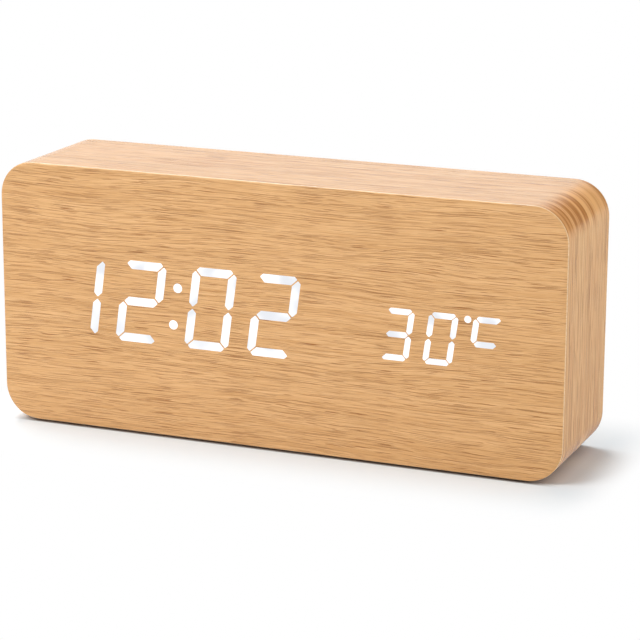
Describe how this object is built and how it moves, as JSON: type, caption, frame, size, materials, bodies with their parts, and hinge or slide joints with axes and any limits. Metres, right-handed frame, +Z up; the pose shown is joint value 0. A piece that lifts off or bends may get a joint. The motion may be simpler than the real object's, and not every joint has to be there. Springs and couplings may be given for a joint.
{
  "type": "digital led desk clock",
  "caption": "Wood-veneered box clock whose slanted seven-segment LED time and temperature shine through the front, with push buttons, power socket and hinged battery door.",
  "frame": {"origin": "on the table, under the middle of the box", "axes": "+X to the reader's right along the width, +Y from the display to the back, +Z up"},
  "size_m": [0.15, 0.0356, 0.0681],
  "materials": {
    "front_veneer": "light oak veneer, satin",
    "edge_veneer": "light oak veneer band, satin",
    "back_veneer": "light oak veneer, satin",
    "fibreboard": "raw medium-density fibreboard",
    "foot_rubber": "matte black rubber",
    "display_light": "lit white",
    "white_plastic": "matte white",
    "circuit_board": "green solder mask",
    "led_chip": "phosphor",
    "chip_epoxy": "black epoxy",
    "nickel_plate": "nickel plated",
    "cream_nylon": "natural nylon",
    "zinc_steel": "zinc plated",
    "black_plastic": "fine texture",
    "button_plastic": "satin black",
    "bay_plastic": "moulded texture",
    "bare_aluminium": "bright",
    "capacitor_sleeve": "shrink sleeve",
    "lead_insulation": "soft insulation",
    "cell_jacket": "plain wrapped steel"
  },
  "bodies": {
    "root": {"front_veneer": "front_veneer", "wrap_veneer": "edge_veneer", "back_veneer": "back_veneer", "front_board": "fibreboard", "body_core": "fibreboard", "back_board": "fibreboard", "rubber_feet": "foot_rubber", "lit_time_segments": "display_light", "lit_temperature_segments": "display_light", "diffuser_film": "white_plastic", "display_reflector": "white_plastic", "display_board": "circuit_board", "segment_leds": "led_chip", "driver_chip": "chip_epoxy", "clock_chip": "chip_epoxy", "timing_crystal": "nickel_plate", "display_connector": "cream_nylon", "display_spacers": "cream_nylon", "display_screws": "zinc_steel", "control_board": "circuit_board", "switch_bodies": "black_plastic", "switch_domes": "nickel_plate", "usb_shell": "nickel_plate", "usb_tongue": "black_plastic", "microphone": "bare_aluminium", "temperature_sensor": "black_plastic", "sounder": "black_plastic", "capacitors": "capacitor_sleeve", "coin_cell_holder": "black_plastic", "coin_cell": "nickel_plate", "control_connectors": "cream_nylon", "control_spacers": "cream_nylon", "control_screws": "zinc_steel", "display_leads": "lead_insulation", "battery_tray": "bay_plastic", "door_pin": "zinc_steel", "tray_screws": "zinc_steel", "contact_plates": "nickel_plate", "contact_springs": "nickel_plate", "battery_cells": "cell_jacket", "battery_leads": "lead_insulation"},
    "set_key": {"set_button": "button_plastic", "set_plunger": "black_plastic"},
    "up_key": {"up_button": "button_plastic", "up_plunger": "black_plastic"},
    "down_key": {"down_button": "button_plastic", "down_plunger": "black_plastic"},
    "bay_door": {"battery_door": "bay_plastic"}
  },
  "joints": [
    {"name": "set_press", "type": "slide", "parent": "root", "child": "set_key", "axis": [0, -1, 0], "range_m": [0, 0.0005], "stiffness_N_per_m": 1500, "springref_m": -0.0004},
    {"name": "up_press", "type": "slide", "parent": "root", "child": "up_key", "axis": [0, -1, 0], "range_m": [0, 0.0005], "stiffness_N_per_m": 1500, "springref_m": -0.0004},
    {"name": "down_press", "type": "slide", "parent": "root", "child": "down_key", "axis": [0, -1, 0], "range_m": [0, 0.0005], "stiffness_N_per_m": 1500, "springref_m": -0.0004},
    {"name": "battery_door_hinge", "type": "hinge", "parent": "root", "child": "bay_door", "pos_m": [0.04525, -0.00025, 0.002], "axis": [0, -1, 0], "range_deg": [0, 90]}
  ]
}
